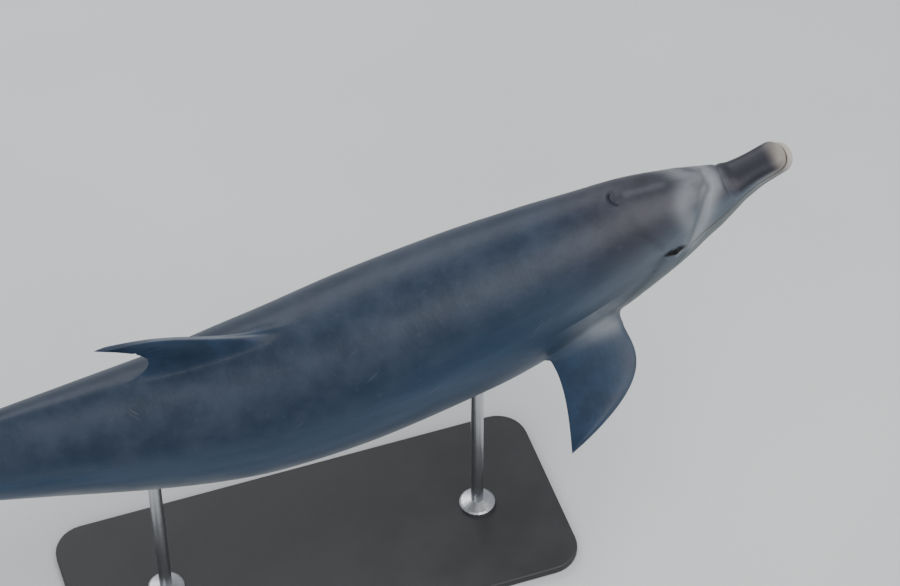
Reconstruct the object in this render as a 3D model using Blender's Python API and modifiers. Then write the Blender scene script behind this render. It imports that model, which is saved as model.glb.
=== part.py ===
"""A life-size bottlenose dolphin as a museum shows it: a still body, rising to the surface, on a stand.

The body is a loft of oval sections along a bent spine, from the snout (+X) to the notch of the flukes
(-X). It is divided across the spine into named lengths, and the head is split along the mouth line.
The fins are blades whose roots are trimmed to the body. Units are metres, +Z is up, and the floor is
z = 0.
"""

import math

import bmesh
import bpy
import numpy as np
from mathutils import Vector

# ---------------------------------------------------------------- driving dimensions
LENGTH = 2.40  # along the spine, snout tip to fluke notch
GAP = 0.0003  # clearance between neighbouring pieces
FLOOR_TO_SPINE = 0.66  # height of the spine at the chest, over the floor

# Pose. Pitch is the nose-up angle of the spine: the head is lifted and the tail stock levels out.
BODY_PITCH = math.radians(12.7)
HEAD_LIFT = math.radians(6.6)
TAIL_LEVEL = math.radians(16.0)
NECK_BEND = (0.34, 0.09)  # the head's lift grows between these shares of LENGTH
TAIL_BEND = (0.39, 0.64)
SPINE_STEPS = 600
MIDDLE = 0.0108  # x of the spine's middle, which puts the whole length's middle at x = 0

# Where the body is divided, as shares of LENGTH from the snout
CREASE = 0.060
MOUTH_CORNER = 0.110
NECK = 0.19
CHEST_END = 0.34
TRUNK_END = 0.60
LOIN_END = 0.77
BODY_END = 0.985

# Skull and trunk: share of LENGTH from the snout, then top, bottom and half width as shares of LENGTH,
# and the roundness of the upper and the lower half (2 is an ellipse, less is a keel)
CORE = (
    (0.046, 0.0060, -0.0020, 0.0030, 2.0, 2.0),
    (0.056, 0.0165, -0.0100, 0.0140, 2.0, 2.0),
    (0.065, 0.0222, -0.0160, 0.0215, 2.1, 2.0),
    (0.077, 0.0280, -0.0225, 0.0270, 2.1, 2.0),
    (0.095, 0.0356, -0.0294, 0.0333, 2.1, 2.0),
    (0.119, 0.0446, -0.0365, 0.0406, 2.1, 2.0),
    (0.147, 0.0530, -0.0430, 0.0474, 2.05, 2.0),
    (0.187, 0.0590, -0.0530, 0.0550, 2.0, 2.0),
    (0.237, 0.0650, -0.0630, 0.0630, 2.0, 2.05),
    (0.310, 0.0700, -0.0710, 0.0700, 2.0, 2.1),
    (0.400, 0.0725, -0.0725, 0.0725, 2.0, 2.1),
    (0.500, 0.0700, -0.0695, 0.0680, 1.95, 2.1),
    (0.600, 0.0610, -0.0600, 0.0555, 1.85, 2.0),
    (0.700, 0.0490, -0.0465, 0.0405, 1.75, 1.85),
    (0.800, 0.0360, -0.0335, 0.0255, 1.65, 1.7),
    (0.880, 0.0255, -0.0230, 0.0160, 1.65, 1.7),
    (0.940, 0.0165, -0.0145, 0.0120, 1.8, 1.8),
    (0.985, 0.0060, -0.0050, 0.0100, 2.0, 2.0),
)
# Beak: share of LENGTH, then height over the mouth line, depth under it and half width
BEAK = (
    (0.000, 0.0088, 0.0070, 0.0166),
    (0.030, 0.0120, 0.0105, 0.0165),
    (0.049, 0.0138, 0.0145, 0.0190),
    (0.067, 0.0155, 0.0192, 0.0240),
    (0.087, 0.0155, 0.0230, 0.0285),
    (0.127, 0.0155, 0.0230, 0.0310),
    (0.200, 0.0020, 0.0020, 0.0020),
    (1.000, 0.0020, 0.0020, 0.0020),
)
BEAK_ROUND = 2.3
SNOUT = 0.0030  # where the upper jaw ends
TIP_LENGTH = 0.0125  # the beak's end is a dome this long
TIP_ROUND = 2.2  # and this blunt: 2 is an ellipse
CREASE_SOFTNESS = 0.0036  # how far the melon and beak blend, all shares of LENGTH
LOWER_LIP = 0.0060  # how far the lower jaw passes the upper
LIP_TURN = 0.12  # how soon under the mouth line it does, as the sine of the turn
LIP_START = 0.0004  # how soon behind the tip it does

# Level of the mouth line, and behind it of the widest part of the section
MOUTH_LEVEL = (
    (0.000, 0.0084),
    (0.030, 0.0045),
    (0.055, 0.0012),
    (0.079, 0.0004),
    (0.095, 0.0010),
    (0.110, -0.0004),
    (0.133, -0.0010),
    (0.200, -0.0005),
    (0.300, 0.0000),
    (1.000, 0.0000),
)

# Eyes and blowhole
EYE_AT = 0.1260
EYE_RISE = math.radians(7.6)  # over the widest level
EYE_RADIUS = 0.0170
EYE_PROUD = 0.0038
BLOWHOLE_AT = 0.149
BLOWHOLE_RADIUS = 0.021
BLOWHOLE_BORE = 0.0032

# Blades: span and chord are metres, the rest as named
FIN_FRONT = 0.461  # front of the dorsal fin's base, share of LENGTH
FIN_BASE = 0.345
FIN_HEIGHT = 0.127
FIN_SWEEP = 0.400  # how far back the tip is from the base's front
FIN_HOLLOW = 0.061  # depth of the rear edge's curve
FIN_THICKNESS = 0.024
FLIPPER_AT = 0.228
FLIPPER_TURN = math.radians(-31.0)  # round the section, from the widest level
FLIPPER_DROOP = math.radians(18.0)
FLIPPER_SPAN = 0.222
FLIPPER_CHORD = 0.160
FLIPPER_SWEEP = 0.200  # how far back the tip is from the base's front
FLIPPER_HOLLOW = 0.014
FLIPPER_THICKNESS = 0.030
FLUKE_FRONT = 0.915
FLUKE_SPAN = 0.290  # from the middle to one tip
FLUKE_CHORD = 0.205
FLUKE_LOBE = 0.030
FLUKE_NOTCH = 0.026
FLUKE_CURL = 0.018
FLUKE_THICKNESS = 0.028
TRAILING_EDGE = 0.0022  # thickness of every blade's rear edge
ROOT_DEPTH = 0.035  # how far a blade starts inside the body

# Stand
BASE_SIZE = (1.10, 0.46, 0.018)
BASE_CORNER = 0.07
BASE_BEVEL = 0.004
ROD_RADIUS = 0.014
ROD_AT = (0.315, 0.600)  # shares of LENGTH
FLANGE_RADIUS = 0.040
FLANGE_HEIGHT = 0.010
SADDLE_RADIUS = 0.034
SADDLE_HEIGHT = 0.030

# Mesh density: rings between divisions, and points round each ring
TIP_RINGS = 6
RINGS = (
    (SNOUT + TIP_LENGTH, CREASE, 5),
    (CREASE, MOUTH_CORNER, 8),
    (MOUTH_CORNER, NECK, 5),
    (NECK, CHEST_END, 5),
    (CHEST_END, TRUNK_END, 7),
    (TRUNK_END, LOIN_END, 4),
    (LOIN_END, BODY_END, 7),
)
AROUND = 36
BLADE_RINGS = 11
BLADE_SIDE = 10

SKIN_TOP = (0.17, 0.18, 0.21, 1.0)
SKIN_SIDE = (0.27, 0.29, 0.32, 1.0)
JAW_PALE = (0.55, 0.54, 0.52, 1.0)
EYE_DARK = (0.02, 0.015, 0.012, 1.0)
STAND_DARK = (0.05, 0.05, 0.055, 1.0)
STEEL = (0.55, 0.56, 0.58, 1.0)


# ---------------------------------------------------------------- curves
def smooth(stations, column, at):
    """A monotone cubic through one column of a table of stations, read at one value or many."""
    table = np.array(stations, float)
    x, y = table[:, 0], table[:, column]
    step = np.diff(x)
    slope = np.diff(y) / step
    tangent = np.zeros(len(x))
    same = slope[:-1] * slope[1:] > 0
    inner = np.zeros(len(slope) - 1)
    inner[same] = 2 * slope[:-1][same] * slope[1:][same] / (slope[:-1] + slope[1:])[same]
    tangent[1:-1] = inner
    tangent[0], tangent[-1] = slope[0], slope[-1]
    at = np.clip(at, x[0], x[-1])
    i = np.clip(np.searchsorted(x, at, side="right") - 1, 0, len(x) - 2)
    u = (at - x[i]) / step[i]
    rise = (3 - 2 * u) * u * u
    start = u * (1 - u) ** 2 * step[i] * tangent[i]
    end = -u * u * (1 - u) * step[i] * tangent[i + 1]
    return y[i] * (1 - rise) + y[i + 1] * rise + start + end


def ease(value, start, end):
    """0 before start, 1 after end, smooth between; start may be the larger."""
    u = np.clip((value - start) / (end - start), 0.0, 1.0)
    return u * u * (3 - 2 * u)


def pitch(share):
    lift = HEAD_LIFT * ease(share, *NECK_BEND)
    return BODY_PITCH + lift - TAIL_LEVEL * ease(share, *TAIL_BEND)


def spine_table():
    """Shares of LENGTH, and the spine's x and z at each."""
    shares = np.linspace(0.0, 1.0, SPINE_STEPS + 1)
    middle = pitch((shares[:-1] + shares[1:]) / 2)
    step = LENGTH / SPINE_STEPS
    x = -np.concatenate([[0.0], np.cumsum(np.cos(middle) * step)])
    z = -np.concatenate([[0.0], np.cumsum(np.sin(middle) * step)])
    x += MIDDLE - (x[0] + x[-1]) / 2
    z += FLOOR_TO_SPINE - np.interp(CHEST_END, shares, z)
    return shares, x, z


SPINE = spine_table()


def placed(share, side, up):
    """The point at side and up (metres) in the section at a share of LENGTH."""
    a = pitch(share)
    x = np.interp(share, SPINE[0], SPINE[1]) - np.sin(a) * up
    z = np.interp(share, SPINE[0], SPINE[2]) + np.cos(a) * up
    return np.stack(np.broadcast_arrays(x, side, z), axis=-1)


# ---------------------------------------------------------------- the body's surface
def oval(cos, sin, up, down, wide, round_up, round_down):
    """Radius of a section that is one superellipse over its widest level and another under it."""
    height = np.where(sin >= 0, up, down)
    power = np.where(sin >= 0, round_up, round_down)
    return (np.abs(cos / wide) ** power + np.abs(sin / height) ** power) ** (-1 / power)


def section(share, turn, offset=0.0):
    """Side and up (metres) of the skin at a turn: 0 is the left mouth line, and pi/2 the top."""
    level = smooth(MOUTH_LEVEL, 1, share)
    top, bottom, wide, round_up, round_down = [smooth(CORE, column, share) for column in range(1, 6)]
    beak_up, beak_down, beak_wide = [smooth(BEAK, column, share) for column in range(1, 4)]
    started = share > CORE[0][0]
    up, down = top - level, level - bottom
    over = np.sin(turn) >= 0
    rise = np.where(over, np.maximum(up * started, beak_up), np.maximum(down * started, beak_down))
    reach = np.maximum(wide * started, beak_wide)
    angle = np.arctan2(rise * np.sin(turn), reach * np.cos(turn))
    cos, sin = np.cos(angle), np.sin(angle)
    from_tip = np.clip((share - SNOUT) / TIP_LENGTH, 0.0, 1.0)
    dome = (1 - (1 - from_tip) ** TIP_ROUND) ** (1 / TIP_ROUND)
    beak = oval(cos, sin, beak_up, beak_down, beak_wide, BEAK_ROUND, BEAK_ROUND) * dome
    core = oval(cos, sin, up, down, wide, round_up, round_down) * started
    soft = CREASE_SOFTNESS * ease(share, CORE[0][0], CORE[1][0])
    radius = (beak + core + np.sqrt((beak - core) ** 2 + soft**2)) / 2 * LENGTH + offset
    return radius * cos, radius * sin + level * LENGTH


def skin(share, turn, offset=0.0):
    """The point of the body's surface, the lower jaw's tip drawn forward past the upper's."""
    side, up = section(share, turn, offset)
    point = placed(share, side, up)
    forward = ease(share, CREASE, SNOUT) * ease(share, SNOUT, SNOUT + LIP_START)
    point[..., 0] += LOWER_LIP * LENGTH * np.clip(-np.sin(turn) / LIP_TURN, 0.0, 1.0) * forward
    return point


def outward(share, turn):
    """The surface's normal there, from two short steps along it."""
    step = 1e-4
    along = skin(share + step, turn) - skin(share - step, turn)
    around = skin(share, turn + step) - skin(share, turn - step)
    return Vector(np.cross(along, around)).normalized()


# ---------------------------------------------------------------- Blender helpers
def material(name, colour, roughness, metallic=0.0):
    made = bpy.data.materials.new(name)
    made.use_nodes = True
    shader = made.node_tree.nodes["Principled BSDF"]
    shader.inputs["Base Color"].default_value = colour
    shader.inputs["Roughness"].default_value = roughness
    shader.inputs["Metallic"].default_value = metallic
    return made


def new_object(name, bm, collection, finish=None):
    """An object from a bmesh, its coincident points welded and its faces pointing out."""
    bmesh.ops.remove_doubles(bm, verts=bm.verts, dist=1e-6)
    bmesh.ops.recalc_face_normals(bm, faces=bm.faces)
    mesh = bpy.data.meshes.new(name)
    bm.to_mesh(mesh)
    bm.free()
    made = bpy.data.objects.new(name, mesh)
    collection.objects.link(made)
    if finish:
        mesh.materials.append(finish)
        mesh.shade_smooth()
        mesh.set_sharp_from_angle(angle=math.radians(40))
    return made


def loft(rings):
    """A closed bmesh through rings of equal length, with a flat face at each end that isn't a point."""
    bm = bmesh.new()
    rows = [[bm.verts.new(point) for point in ring] for ring in rings]
    count = len(rows[0])
    for near, far in zip(rows[:-1], rows[1:]):
        for i in range(count):
            j = (i + 1) % count
            bm.faces.new((near[i], near[j], far[j]))
            bm.faces.new((near[i], far[j], far[i]))
    for row in (rows[0], rows[-1]):
        if (row[0].co - row[count // 2].co).length > 1e-6:
            bm.faces.new(row)
    return bm


def cut(target, cutter):
    """Takes a helper's shape away from a piece."""
    modifier = target.modifiers.new("cut_" + cutter.name, "BOOLEAN")
    modifier.operation = "DIFFERENCE"
    modifier.object = cutter


def as_helper(made):
    made.hide_render = True
    made.display_type = "WIRE"
    return made


# ---------------------------------------------------------------- the body's lengths
def spread(start, end, count):
    return list(np.linspace(start, end, count + 1))


def stations(start, end):
    """Shares of LENGTH at which the body has a ring, between two of its divisions."""
    bends = [math.pi / 2 * i / TIP_RINGS for i in range(TIP_RINGS + 1)]
    dome = [SNOUT + TIP_LENGTH * (1 - math.cos(bend)) for bend in bends]
    every = dome + [share for first, last, count in RINGS for share in spread(first, last, count)[1:]]
    return [share for share in every if start - 1e-9 <= share <= end + 1e-9]


def turns():
    return [2 * math.pi * i / AROUND for i in range(AROUND)]


def full_ring(share, offset=0.0):
    return [Vector(skin(share, turn, offset)) for turn in turns()]


def half_ring(share, upper):
    """A ring with its other half flattened onto the mouth line, leaving half the gap there."""
    lift = GAP if upper else -GAP
    left, right = (Vector(skin(share, turn)) for turn in (0.0, math.pi))
    ring = []
    for i, turn in enumerate(turns()):
        kept = math.sin(turn) > 1e-9 if upper else math.sin(turn) < -1e-9
        across = 1 - abs(1 - i / (AROUND / 2))
        point = Vector(skin(share, turn)) if kept else left.lerp(right, across)
        ring.append(point if kept else point + Vector((0, 0, lift)))
    return ring


def inset(shares):
    """The same stations with both ends drawn in by half the gap, apart from the snout's tip."""
    half = GAP / 2 / LENGTH
    first = shares[0] + half if shares[0] > SNOUT else SNOUT
    return [first, *shares[1:-1], shares[-1] - half]


def body_length(name, start, end, collection, finish):
    rings = [full_ring(share) for share in inset(stations(start, end))]
    return new_object(name, loft(rings), collection, finish)


def jaw(name, end, upper, collection, finish):
    rings = [half_ring(share, upper) for share in inset(stations(SNOUT, end))]
    return new_object(name, loft(rings), collection, finish)


def head(collection, finish):
    """The melon over the mouth line, and the whole section behind the mouth's corner."""
    behind = inset(stations(MOUTH_CORNER, NECK))
    ahead = inset(stations(CREASE, MOUTH_CORNER))[:-1] + behind[:1]
    rings = [half_ring(share, upper=True) for share in ahead] + [full_ring(share) for share in behind]
    return new_object("head", loft(rings), collection, finish)


# ---------------------------------------------------------------- blades: fins, flippers and flukes
def blade(name, origin, out, fore, span, edges, thickness, start, collection, finish, lean=None):
    """A loft of wing sections. edges gives the front and rear edge, along fore, at a share of span."""
    normal = out.cross(fore).normalized()
    rings = []
    for i in range(BLADE_RINGS + 1):
        even = i / BLADE_RINGS
        u = start + (1 - start) * (1 - (1 - even) ** 1.6)
        front, rear = edges(u)
        chord = max(front - rear, 0.006)
        middle = (front + rear) / 2
        thick = thickness * (1 - 0.62 * max(u, 0.0)) * min(1.0, chord / span / 0.2 + 0.15)
        spot = origin + out * (u * span) + (lean(u) if lean else Vector())
        ring = []
        for k in range(-BLADE_SIDE, BLADE_SIDE + 1):
            x = (1 - math.cos(math.pi * abs(k) / BLADE_SIDE)) / 2
            wing = 2.969 * math.sqrt(x) - 1.26 * x - 3.516 * x**2 + 2.843 * x**3 - 1.036 * x**4
            half = thick / 2 * wing + TRAILING_EDGE / 2 * x
            ring.append(spot + fore * (middle + chord / 2 - chord * x) + normal * math.copysign(half, k))
        rings.append(ring)
    return new_object(name, loft(rings), collection, finish)


def dorsal_edges(u):
    u = max(u, 0.0)
    front = FIN_BASE / 2 - FIN_SWEEP * (0.64 * math.sqrt(u) + 0.04 * u + 0.12 * u**2 + 0.20 * u**8)
    rear = -FIN_BASE / 2 - (FIN_SWEEP - FIN_BASE) * u + FIN_HOLLOW * math.sin(math.pi * u**0.8)
    return front, rear


def dorsal_fin(collection, finish):
    middle = FIN_FRONT + FIN_BASE / 2 / LENGTH
    front, rear = (Vector(skin(FIN_FRONT + i * FIN_BASE / LENGTH, math.pi / 2)) for i in (0, 1))
    fore = (front - rear).normalized()
    out = Vector((-fore.z, 0, fore.x))
    origin = (front + rear) / 2
    origin = origin.lerp(Vector(skin(middle, math.pi / 2)), 0.5)
    return blade("dorsal_fin", origin, out, fore, FIN_HEIGHT, dorsal_edges, FIN_THICKNESS,
                 -ROOT_DEPTH / FIN_HEIGHT, collection, finish)


def flipper_edges(u):
    v = max(u, 0.0)
    front = FLIPPER_CHORD / 2 + 0.06 * v * (1 - v) - FLIPPER_SWEEP * v**3.2
    hollow = FLIPPER_HOLLOW * math.sin(math.pi * v**0.8)
    rear = -FLIPPER_CHORD / 2 - (FLIPPER_SWEEP - FLIPPER_CHORD) * v + hollow
    return front, rear


def flipper(name, side, collection, finish):
    """side is +1 for the left and -1 for the right."""
    turn = FLIPPER_TURN if side > 0 else math.pi - FLIPPER_TURN
    origin = Vector(skin(FLIPPER_AT, turn))
    a = float(pitch(FLIPPER_AT))
    fore = Vector((math.cos(a), 0, math.sin(a)))
    up = Vector((-math.sin(a), 0, math.cos(a)))
    across = Vector((0, side, 0))
    out = across * math.cos(FLIPPER_DROOP) - up * math.sin(FLIPPER_DROOP)
    return blade(name, origin, out, fore, FLIPPER_SPAN, flipper_edges, FLIPPER_THICKNESS,
                 -ROOT_DEPTH / FLIPPER_SPAN, collection, finish)


def fluke_edges(u):
    front = -FLUKE_CHORD * (0.30 * math.sqrt(u) + 0.34 * u + 0.50 * u**3)
    lobe = FLUKE_LOBE * (math.sin(math.pi * min(u, 0.56) / 0.56) * 0.6 + 0.5 * ease(u, 0.62, 1.0))
    notch = FLUKE_NOTCH * max(0.0, 1 - u / 0.10) ** 2
    return front, -FLUKE_CHORD - lobe + notch


def fluke(name, side, collection, finish):
    """side is +1 for the left and -1 for the right."""
    front = placed(FLUKE_FRONT, 0.0, 0.0)
    notch = placed(1.0, 0.0, 0.0)
    fore = Vector(front - notch).normalized()
    origin = Vector(front) + Vector((0, side * GAP, 0))
    up = Vector((-fore.z, 0, fore.x))
    return blade(name, origin, Vector((0, side, 0)), fore, FLUKE_SPAN, fluke_edges, FLUKE_THICKNESS, 0.0,
                 collection, finish, lean=lambda u: up * (FLUKE_CURL * u**2))


# ---------------------------------------------------------------- eyes and blowhole
def ball(name, centre, radius, collection, finish=None):
    bm = bmesh.new()
    bmesh.ops.create_uvsphere(bm, u_segments=16, v_segments=10, radius=radius)
    made = new_object(name, bm, collection, finish)
    made.location = centre
    return made


def eye(name, turn, head_piece, parts, cutters, finish):
    spot = Vector(skin(EYE_AT, turn))
    centre = spot - outward(EYE_AT, turn) * (EYE_RADIUS - EYE_PROUD)
    ball(name, centre, EYE_RADIUS, parts, finish)
    cut(head_piece, as_helper(ball("socket_" + name, centre, EYE_RADIUS + GAP, cutters)))


def blowhole(head_piece, cutters):
    """A crescent groove on top of the head, hollow side forward."""
    curve = bpy.data.curves.new("blowhole_line", "CURVE")
    curve.dimensions = "3D"
    line = curve.splines.new("POLY")
    steps = 8
    line.points.add(steps)
    for i, point in enumerate(line.points):
        a = math.radians(-75 + 150 * i / steps)
        share = BLOWHOLE_AT + BLOWHOLE_RADIUS * math.cos(a) / LENGTH
        half = float(smooth(CORE, 3, share)) * LENGTH
        spot = skin(share, math.pi / 2 - BLOWHOLE_RADIUS * math.sin(a) / half)
        point.co = (*spot, 1.0)
    curve.bevel_depth = BLOWHOLE_BORE
    curve.bevel_resolution = 2
    curve.use_fill_caps = True
    made = bpy.data.objects.new("blowhole_line", curve)
    cutters.objects.link(made)
    bpy.context.view_layer.update()
    solid = bpy.data.meshes.new_from_object(made.evaluated_get(bpy.context.evaluated_depsgraph_get()))
    bpy.data.objects.remove(made)
    bm = bmesh.new()
    bm.from_mesh(solid)
    cut(head_piece, as_helper(new_object("blowhole_groove", bm, cutters)))


# ---------------------------------------------------------------- stand
def stand_base(collection, finish):
    bm = bmesh.new()
    bmesh.ops.create_cube(bm, size=1.0)
    bmesh.ops.scale(bm, vec=BASE_SIZE, verts=bm.verts)
    upright = [e for e in bm.edges if abs(e.verts[0].co.z - e.verts[1].co.z) > BASE_SIZE[2] / 2]
    bmesh.ops.bevel(bm, geom=upright, offset=BASE_CORNER, segments=8, profile=0.5, affect="EDGES")
    made = new_object("stand_base", bm, collection, finish)
    made.location = (base_centre(), 0, BASE_SIZE[2] / 2)
    edge = made.modifiers.new("edge", "BEVEL")
    edge.width = BASE_BEVEL
    edge.segments = 2
    edge.limit_method = "ANGLE"
    edge.angle_limit = math.radians(60)
    return made


def base_centre():
    return sum(float(np.interp(share, SPINE[0], SPINE[1])) for share in ROD_AT) / 2


def rod(name, share, body_cutter, collection, finish):
    """A turned rod with a foot flange and a cup, its top trimmed to the belly."""
    belly = skin(share, -math.pi / 2)
    foot = BASE_SIZE[2] + GAP
    top = float(belly[2]) + SADDLE_RADIUS / 2
    profile = (
        (0, top), (SADDLE_RADIUS, top), (SADDLE_RADIUS, top - SADDLE_HEIGHT * 0.8),
        (ROD_RADIUS, top - SADDLE_HEIGHT * 1.6), (ROD_RADIUS, foot + FLANGE_HEIGHT * 1.8),
        (FLANGE_RADIUS * 0.9, foot + FLANGE_HEIGHT), (FLANGE_RADIUS, foot + FLANGE_HEIGHT * 0.7),
        (FLANGE_RADIUS, foot), (0, foot),
    )
    bm = bmesh.new()
    points = [bm.verts.new((radius, 0, z)) for radius, z in profile]
    for near, far in zip(points[:-1], points[1:]):
        bm.edges.new((near, far))
    made = new_object(name, bm, collection, finish)
    made.location = (float(belly[0]), 0, 0)
    turned = made.modifiers.new("turned", "SCREW")
    turned.steps = turned.render_steps = 24
    turned.use_merge_vertices = True
    turned.merge_threshold = 0.0001
    turned.use_smooth_shade = True
    cut(made, body_cutter)
    return made


# ---------------------------------------------------------------- the model
def build():
    for leftover in list(bpy.data.objects):
        bpy.data.objects.remove(leftover)
    parts = bpy.data.collections.new("bottlenose_dolphin")
    cutters = bpy.data.collections.new("cutters")
    for collection in (parts, cutters):
        bpy.context.scene.collection.children.link(collection)

    dark = material("skin_back", SKIN_TOP, 0.35)
    grey = material("skin_flank", SKIN_SIDE, 0.35)
    pale = material("skin_jaw", JAW_PALE, 0.4)
    iris = material("eye", EYE_DARK, 0.08)
    black = material("stand_black", STAND_DARK, 0.45)
    steel = material("stand_steel", STEEL, 0.3, 1.0)

    whole = [full_ring(share, GAP) for share in stations(SNOUT, BODY_END)]
    body_cutter = as_helper(new_object("body_cutter", loft(whole), cutters))

    jaw("beak_upper", CREASE, True, parts, dark)
    jaw("lower_jaw", MOUTH_CORNER, False, parts, pale)
    head_piece = head(parts, grey)
    body_length("chest", NECK, CHEST_END, parts, grey)
    body_length("trunk", CHEST_END, TRUNK_END, parts, grey)
    body_length("loin", TRUNK_END, LOIN_END, parts, grey)
    body_length("tail_stock", LOIN_END, BODY_END, parts, grey)

    blades = [dorsal_fin(parts, dark)]
    for side, word in ((1, "left"), (-1, "right")):
        blades.append(flipper("flipper_" + word, side, parts, dark))
        blades.append(fluke("fluke_" + word, side, parts, dark))
        turn = EYE_RISE if side > 0 else math.pi - EYE_RISE
        eye("eye_" + word, turn, head_piece, parts, cutters, iris)
    for piece in blades:
        cut(piece, body_cutter)
    blowhole(head_piece, cutters)

    stand_base(parts, black)
    for word, share in zip(("front", "rear"), ROD_AT):
        rod("stand_rod_" + word, share, body_cutter, parts, steel)


build()
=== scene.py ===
import math

import bmesh
import bpy
import numpy as np
from mathutils import Matrix, Vector
from mathutils.kdtree import KDTree


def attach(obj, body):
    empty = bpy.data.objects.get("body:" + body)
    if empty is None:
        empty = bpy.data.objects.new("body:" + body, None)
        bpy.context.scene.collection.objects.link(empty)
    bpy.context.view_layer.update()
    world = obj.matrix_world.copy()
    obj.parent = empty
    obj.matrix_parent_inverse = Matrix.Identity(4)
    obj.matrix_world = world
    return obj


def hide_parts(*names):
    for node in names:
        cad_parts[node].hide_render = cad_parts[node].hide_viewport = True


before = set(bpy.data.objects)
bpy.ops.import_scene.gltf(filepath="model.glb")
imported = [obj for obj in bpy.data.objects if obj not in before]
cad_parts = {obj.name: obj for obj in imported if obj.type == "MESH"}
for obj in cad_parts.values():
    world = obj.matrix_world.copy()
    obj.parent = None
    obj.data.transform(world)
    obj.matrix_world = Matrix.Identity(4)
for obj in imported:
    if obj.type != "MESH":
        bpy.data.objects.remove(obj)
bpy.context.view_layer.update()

# ---- driving dimensions
LENGTH = 2.40  # along the spine, snout tip to fluke notch
FLOOR_TO_SPINE = 0.66  # height of the spine at the chest, over the floor

# Pose. Pitch is the nose-up angle of the spine: the head is lifted and the tail stock levels out.
BODY_PITCH = math.radians(12.7)
HEAD_LIFT = math.radians(6.6)
TAIL_LEVEL = math.radians(16.0)
NECK_BEND = (0.34, 0.09)  # the head's lift grows between these shares of LENGTH
TAIL_BEND = (0.39, 0.64)
SPINE_STEPS = 600
MIDDLE = 0.0108  # x of the spine's middle, which puts the whole length's middle at x = 0

# Places along the body, as shares of LENGTH from the snout
CREASE = 0.060  # where the beak meets the melon
CHEST_END = 0.34
BODY_END = 0.985

# Skull and trunk: share of LENGTH from the snout, then top, bottom and half width as shares of LENGTH,
# and the roundness of the upper and the lower half (2 is an ellipse, less is a keel)
CORE = (
    (0.046, 0.0060, -0.0020, 0.0030, 2.0, 2.0),
    (0.056, 0.0165, -0.0100, 0.0140, 2.0, 2.0),
    (0.065, 0.0222, -0.0160, 0.0215, 2.1, 2.0),
    (0.077, 0.0280, -0.0225, 0.0270, 2.1, 2.0),
    (0.095, 0.0356, -0.0294, 0.0333, 2.1, 2.0),
    (0.119, 0.0446, -0.0365, 0.0406, 2.1, 2.0),
    (0.147, 0.0530, -0.0430, 0.0474, 2.05, 2.0),
    (0.187, 0.0590, -0.0530, 0.0550, 2.0, 2.0),
    (0.237, 0.0650, -0.0630, 0.0630, 2.0, 2.05),
    (0.310, 0.0700, -0.0710, 0.0700, 2.0, 2.1),
    (0.400, 0.0725, -0.0725, 0.0725, 2.0, 2.1),
    (0.500, 0.0700, -0.0695, 0.0680, 1.95, 2.1),
    (0.600, 0.0610, -0.0600, 0.0555, 1.85, 2.0),
    (0.700, 0.0490, -0.0465, 0.0405, 1.75, 1.85),
    (0.800, 0.0360, -0.0335, 0.0255, 1.65, 1.7),
    (0.880, 0.0255, -0.0230, 0.0160, 1.65, 1.7),
    (0.940, 0.0165, -0.0145, 0.0120, 1.8, 1.8),
    (0.985, 0.0060, -0.0050, 0.0100, 2.0, 2.0),
)
# Beak: share of LENGTH, then height over the mouth line, depth under it and half width
BEAK = (
    (0.000, 0.0088, 0.0070, 0.0166),
    (0.030, 0.0120, 0.0105, 0.0165),
    (0.049, 0.0138, 0.0145, 0.0190),
    (0.067, 0.0155, 0.0192, 0.0240),
    (0.087, 0.0155, 0.0230, 0.0285),
    (0.127, 0.0155, 0.0230, 0.0310),
    (0.200, 0.0020, 0.0020, 0.0020),
    (1.000, 0.0020, 0.0020, 0.0020),
)
BEAK_ROUND = 2.3
SNOUT = 0.0030  # where the upper jaw ends
TIP_LENGTH = 0.0125  # the beak's end is a dome this long
TIP_ROUND = 2.2  # and this blunt: 2 is an ellipse
CREASE_SOFTNESS = 0.0036  # how far the melon and beak blend, all shares of LENGTH
LOWER_LIP = 0.0060  # how far the lower jaw passes the upper
LIP_TURN = 0.12  # how soon under the mouth line it does, as the sine of the turn

# Level of the mouth line, and behind it of the widest part of the section
MOUTH_LEVEL = (
    (0.000, 0.0084), (0.030, 0.0045), (0.055, 0.0012), (0.079, 0.0004), (0.095, 0.0010),
    (0.110, -0.0004), (0.133, -0.0010), (0.200, -0.0005), (0.300, 0.0000), (1.000, 0.0000),
)

# Eyes and blowhole
EYE_AT = 0.1260
EYE_RISE = math.radians(7.6)  # over the widest level
EYE_RADIUS = 0.0170
EYE_PROUD = 0.0038
BLOWHOLE_AT = 0.149
BLOWHOLE_RADIUS = 0.021

# Blades: span and chord are metres, the rest as named
FIN_FRONT = 0.461  # front of the dorsal fin's base, share of LENGTH
FIN_BASE = 0.345
FIN_HEIGHT = 0.127
FIN_SWEEP = 0.400  # how far back the tip is from the base's front
FIN_HOLLOW = 0.061  # depth of the rear edge's curve
FIN_THICKNESS = 0.024
FLIPPER_AT = 0.228
FLIPPER_TURN = math.radians(-31.0)  # round the section, from the widest level
FLIPPER_DROOP = math.radians(18.0)
FLIPPER_SPAN = 0.222
FLIPPER_CHORD = 0.160
FLIPPER_SWEEP = 0.200
FLIPPER_HOLLOW = 0.014
FLIPPER_THICKNESS = 0.030
FLUKE_FRONT = 0.915
FLUKE_SPAN = 0.290  # from the middle to one tip
FLUKE_CHORD = 0.205
FLUKE_LOBE = 0.030
FLUKE_NOTCH = 0.026
FLUKE_CURL = 0.018
FLUKE_THICKNESS = 0.028
TRAILING_EDGE = 0.0022  # thickness of every blade's rear edge
ROOT_DEPTH = 0.035  # how far a blade starts inside the body

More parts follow.
